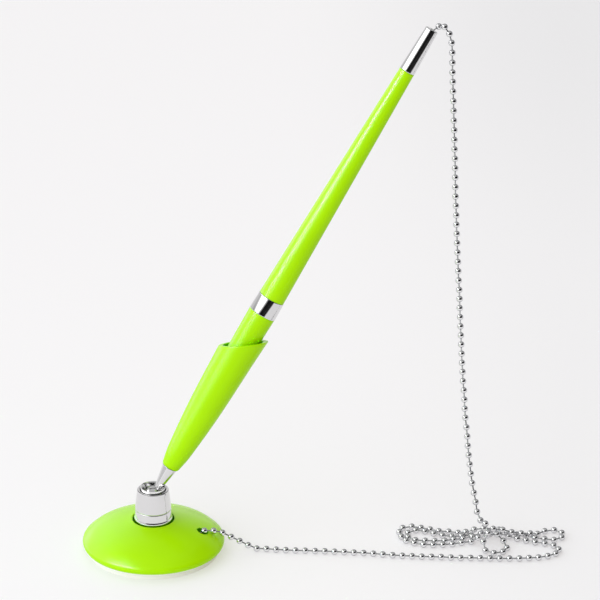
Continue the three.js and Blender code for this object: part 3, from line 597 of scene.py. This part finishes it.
class Sums:
    """Arithmetic with the nodes of one tree."""

    def __init__(self, tree):
        self.t = tree

    def calc(self, op, a, b=None):
        n = self.t.nodes.new("ShaderNodeMath")
        n.operation = op
        for i, v in enumerate((a, b)):
            if v is None:
                continue
            if isinstance(v, (int, float)):
                n.inputs[i].default_value = v
            else:
                self.t.links.new(v, n.inputs[i])
        return n.outputs[0]

    def add(self, a, b):
        return self.calc("ADD", a, b)

    def mul(self, a, b):
        return self.calc("MULTIPLY", a, b)

    def ramp(self, value, low, high, a=0.0, b=1.0):
        """a below low, b above high, smooth between."""
        n = self.t.nodes.new("ShaderNodeMapRange")
        n.interpolation_type = "SMOOTHSTEP"
        for k, v in (("From Min", low), ("From Max", high), ("To Min", a), ("To Max", b)):
            n.inputs[k].default_value = v
        self.t.links.new(value, n.inputs["Value"])
        return n.outputs["Result"]

    def blend(self, base, mask, level):
        """base outside the mask, level inside it."""
        return self.add(self.mul(self.calc("SUBTRACT", 1.0, mask), base), self.mul(mask, level))

    def glow(self, az, el, az0, el0, waz, wel):
        """A soft round glow, 1 at its middle; waz and wel are where it has fallen to a third."""
        u = self.calc("DIVIDE", self.calc("SUBTRACT", az, math.radians(az0)), math.radians(waz))
        v = self.calc("DIVIDE", self.calc("SUBTRACT", el, math.radians(el0)), math.radians(wel))
        return self.calc("EXPONENT", self.mul(self.add(self.mul(u, u), self.mul(v, v)), -1.0))

    def split(self, vector):
        n = self.t.nodes.new("ShaderNodeSeparateXYZ")
        self.t.links.new(vector, n.inputs[0])
        return n.outputs

    def color(self, *parts):
        n = self.t.nodes.new("ShaderNodeCombineColor")
        for k, v in enumerate(parts):
            if isinstance(v, (int, float)):
                n.inputs[k].default_value = v
            else:
                self.t.links.new(v, n.inputs[k])
        return n.outputs[0]


s = Sums(FLOOR.node_tree)
at = s.t.nodes.new("ShaderNodeTexCoord")
fx, fy, _ = s.split(at.outputs["Object"])
far = s.add(s.mul(s.calc("SUBTRACT", fx, 0.228), 0.651), s.mul(s.add(fy, 0.440), -0.759))  # metres beyond the floor's front edge
floor_painted_shade = s.mul(s.ramp(fx, 0.05, 0.21), s.add(s.mul(s.ramp(fy, 0.25, 0.62), 0.11), 0.12))  # painted shade: the floor's painted glow is weaker on the right and far behind
s.t.links.new(s.mul(s.calc("SUBTRACT", 1.0, floor_painted_shade), FLOOR_PAINTED_GLOW), s.t.nodes["Principled BSDF"].inputs["Emission Strength"])
gone = s.t.nodes.new("ShaderNodeBsdfTransparent")
both = s.t.nodes.new("ShaderNodeMixShader")
s.t.links.new(s.ramp(far, -0.06, 0.16), both.inputs[0])
s.t.links.new(s.t.nodes["Principled BSDF"].outputs[0], both.inputs[1])
s.t.links.new(gone.outputs[0], both.inputs[2])
s.t.links.new(both.outputs[0], s.t.nodes["Material Output"].inputs["Surface"])

# ------------------------------------------------------------------ light: a pale studio, with one big soft box on the left
world = bpy.data.worlds.new("studio")
world.use_nodes = True
s = Sums(world.node_tree)
bg = s.t.nodes["Background"]
X, Y, Z = s.split(s.t.nodes.new("ShaderNodeTexCoord").outputs["Generated"])
az = s.calc("ARCTAN2", X, s.mul(Y, -1.0))
el = s.calc("ARCSINE", Z)
above = s.ramp(el, math.radians(-1), math.radians(4))
low = s.ramp(el, math.radians(20), math.radians(46), 1.0, 0.0)

# what the pale surfaces are lit by: an even studio, darker low on the right
even = s.calc("SUBTRACT", 1.09, s.mul(X, 0.10))
right = s.mul(s.ramp(X, 0.10, 0.70), s.ramp(el, math.radians(45), math.radians(75), 1.0, 0.0))
even_r, even_g, even_b = (s.blend(even, right, v) for v in (0.38, 0.28, 0.17))

# what polished metal sees: a pale wall behind that ends in a dark ceiling, the soft box on the left above a grey wall, and a
# black front
behind = s.ramp(Y, -0.20, 0.25)
wall = s.blend(0.90, s.ramp(X, 0.10, 0.55), 0.50)
wall = s.blend(wall, s.ramp(X, -0.45, -0.10, 1.0, 0.0), s.ramp(el, math.radians(2), math.radians(20), 0.88, 0.52))
seen = s.blend(s.ramp(el, math.radians(40), math.radians(62), 0.008, 0.55), s.mul(behind, low), wall)
edge = s.ramp(az, math.radians(-100), math.radians(-25), math.radians(20.5), math.radians(13))
face = s.mul(s.ramp(s.calc("SUBTRACT", el, edge), math.radians(-2.5), math.radians(5.5)), s.ramp(s.mul(az, -1.0), math.radians(12), math.radians(48)))
face = s.mul(face, s.mul(s.ramp(s.mul(az, -1.0), math.radians(112), math.radians(150), 1.0, 0.0), s.ramp(el, math.radians(38), math.radians(56), 1.0, 0.0)))
seen = s.blend(seen, face, 2.4)
below = s.blend(0.02, s.ramp(Y, -0.1, 0.3), 0.5)
seen = s.blend(below, above, seen)
seen = s.blend(seen, s.mul(s.ramp(s.mul(az, -1.0), math.radians(30), math.radians(50)), s.mul(s.ramp(el, math.radians(7), math.radians(12), 1.0, 0.0), s.ramp(el, math.radians(-12), math.radians(-7)))), 0.72)

kind = s.t.nodes.new("ShaderNodeLightPath")
glossy, camera = kind.outputs["Is Glossy Ray"], kind.outputs["Is Camera Ray"]
s.t.links.new(s.color(*(s.blend(s.blend(v, glossy, seen), camera, 0.925) for v in (even_r, even_g, even_b))), bg.inputs["Color"])
bg.inputs["Strength"].default_value = 1.0
scene.world = world


def area(name, at, to, size, power, color=(1, 1, 1)):
    d = bpy.data.lights.new(name, "AREA")
    d.shape, d.size, d.size_y = "RECTANGLE", size[0], size[1]
    d.energy, d.color = power, color
    o = bpy.data.objects.new(name, d)
    o.location = at
    o.rotation_euler = (Vector(to) - Vector(at)).to_track_quat("-Z", "Y").to_euler()
    scene.collection.objects.link(o)
    return o


box = area("softbox", (-0.63, -0.73, 0.51), (0.08, 0, 0.10), (1.35, 0.98), 4.2, (1.0, 1.0, 1.0))
box.visible_camera = False
box.visible_glossy = False


def card(name, verts, faces, mat, glossy=True):
    """A card that only polished surfaces see, or only matt ones."""
    me = bpy.data.meshes.new(name)
    me.from_pydata(verts, [], faces)
    me.materials.append(mat)
    o = bpy.data.objects.new(name, me)
    scene.collection.objects.link(o)
    o.visible_camera = o.visible_shadow = o.visible_transmission = False
    o.visible_diffuse, o.visible_glossy = not glossy, glossy
    return o


# the glow of the soft box on the lime plastic alone
LIMES = bpy.data.collections.new("lime_pieces")
for o in (cover, sheath, nose, lower, upper):
    LIMES.objects.link(o)


def glowing(name):
    m = bpy.data.materials.new(name)
    m.use_nodes = True
    for n in list(m.node_tree.nodes):
        m.node_tree.nodes.remove(n)
    s = Sums(m.node_tree)
    out, emit, clear, add = (s.t.nodes.new(k) for k in ("ShaderNodeOutputMaterial", "ShaderNodeEmission", "ShaderNodeBsdfTransparent", "ShaderNodeAddShader"))
    s.t.links.new(emit.outputs[0], add.inputs[0])
    s.t.links.new(clear.outputs[0], add.inputs[1])
    s.t.links.new(add.outputs[0], out.inputs["Surface"])
    place = s.t.nodes.new("ShaderNodeNewGeometry").outputs["Position"]
    return m, s, emit, place


TINT = (0.62, 1.0, 1.35, 1.0)
face_mat, s, emit, place = glowing("soft_box_face")
side = Vector((-math.cos(math.radians(60)), math.sin(math.radians(60)), 0))  # along the card
mid = Vector((-0.533, -0.343, 0.0))
px, py, pz = s.split(place)
across = s.add(s.mul(s.calc("SUBTRACT", px, mid.x), side.x), s.mul(s.calc("SUBTRACT", py, mid.y), side.y))
q = s.calc("DIVIDE", across, 0.235)
rise = s.mul(s.ramp(pz, 0.26, 0.56, 10.0, 84.0), s.ramp(pz, 0.06, 0.20))
rise = s.mul(rise, s.ramp(pz, 0.70, 0.95, 1.0, 0.0))
s.t.links.new(s.mul(s.calc("EXPONENT", s.mul(s.mul(q, q), -1.0)), rise), emit.inputs["Strength"])
emit.inputs["Color"].default_value = TINT
a3, b3 = mid - side * 0.6, mid + side * 0.6
o = card("soft_box_face", [(a3.x, a3.y, 0.03), (b3.x, b3.y, 0.03), (b3.x, b3.y, 1.0), (a3.x, a3.y, 1.0)], [(0, 1, 2, 3)], face_mat)
o.light_linking.receiver_collection = LIMES

sky_mat, s, emit, place = glowing("lime_sky")
n = s.t.nodes.new("ShaderNodeVectorMath")
n.operation = "NORMALIZE"
s.t.links.new(place, n.inputs[0])
X, Y, Z = s.split(n.outputs[0])
az = s.calc("ARCTAN2", X, s.mul(Y, -1.0))
el = s.calc("ARCSINE", Z)
above = s.ramp(el, math.radians(-1), math.radians(4))
back = s.mul(s.mul(s.ramp(X, -0.50, -0.03, 1.0, 0.0), s.ramp(Y, -0.2, 0.25)), s.ramp(el, math.radians(22), math.radians(50), 1.0, 0.0))
left = s.mul(s.ramp(X, -0.62, -0.20, 1.0, 0.0), s.ramp(el, math.radians(52), math.radians(75), 1.0, 0.0))
rear = s.mul(s.mul(s.ramp(X, -0.2, 0.0), s.ramp(Y, 0.40, 0.65)), s.ramp(el, math.radians(26), math.radians(50), 1.0, 0.0))
white = s.mul(above, s.add(s.add(s.mul(back, 1.25), s.mul(left, 0.5)), s.mul(rear, 0.8)))
blue = s.add(s.mul(s.glow(az, el, -92.0, 42.0, 26.0, 18.0), 1.6), s.mul(s.glow(az, el, -140.0, 42.0, 34.0, 20.0), 3.0))
blue = s.add(blue, s.mul(s.glow(az, el, -98.0, 4.0, 38.0, 10.0), 7.5))
s.t.links.new(s.color(*(s.add(white, s.mul(blue, v)) for v in TINT[:3])), emit.inputs["Color"])
emit.inputs["Strength"].default_value = 1.0
sky_mat.cycles.emission_sampling = "NONE"
bm = bmesh.new()
bmesh.ops.create_uvsphere(bm, u_segments=48, v_segments=24, radius=6.0)
me = bpy.data.meshes.new("ball")
bm.to_mesh(me)
bm.free()
o = card("lime_sky", [tuple(v.co) for v in me.vertices], [tuple(p.vertices) for p in me.polygons], sky_mat)
bpy.data.meshes.remove(me)
o.light_linking.receiver_collection = LIMES

scene.view_settings.view_transform = "Standard"
scene.view_settings.look = "None"
scene.view_settings.exposure = 0.0
scene.view_settings.gamma = 1.0

bpy.context.view_layer.update()
